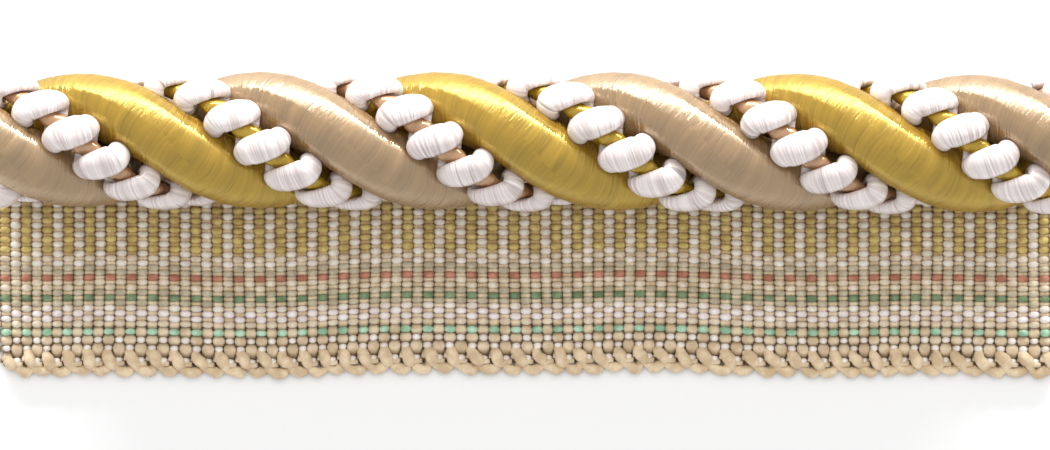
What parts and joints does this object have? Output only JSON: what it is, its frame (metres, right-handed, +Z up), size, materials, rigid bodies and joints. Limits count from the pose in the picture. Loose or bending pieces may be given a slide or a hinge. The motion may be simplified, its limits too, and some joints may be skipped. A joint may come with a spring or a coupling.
{
  "type": "piping cord",
  "caption": "Twisted furnishing rope of fat satin strands and slim yarn-wrapped strands, sewn along one edge of a flat woven tape lip.",
  "frame": {"origin": "on the lip's underside, straight below the rope's axis, at the middle of the length", "axes": "+X along the cord, +Y from the lip's outer edge towards the rope, +Z up from the surface that the lip lies on"},
  "size_m": [0.0726, 0.0212, 0.0108],
  "materials": {
    "woven_tape": "matte woven cotton and rayon tape",
    "gold_satin": "satin rayon thread",
    "taupe_satin": "satin rayon thread",
    "white_satin": "satin rayon thread"
  },
  "bodies": {
    "root": {"tape_lip": "woven_tape", "gold_strand": "gold_satin", "taupe_strand": "taupe_satin", "taupe_core": "taupe_satin", "gold_core": "gold_satin", "white_yarn_on_taupe": "white_satin", "white_yarn_on_gold": "white_satin"}
  },
  "joints": []
}
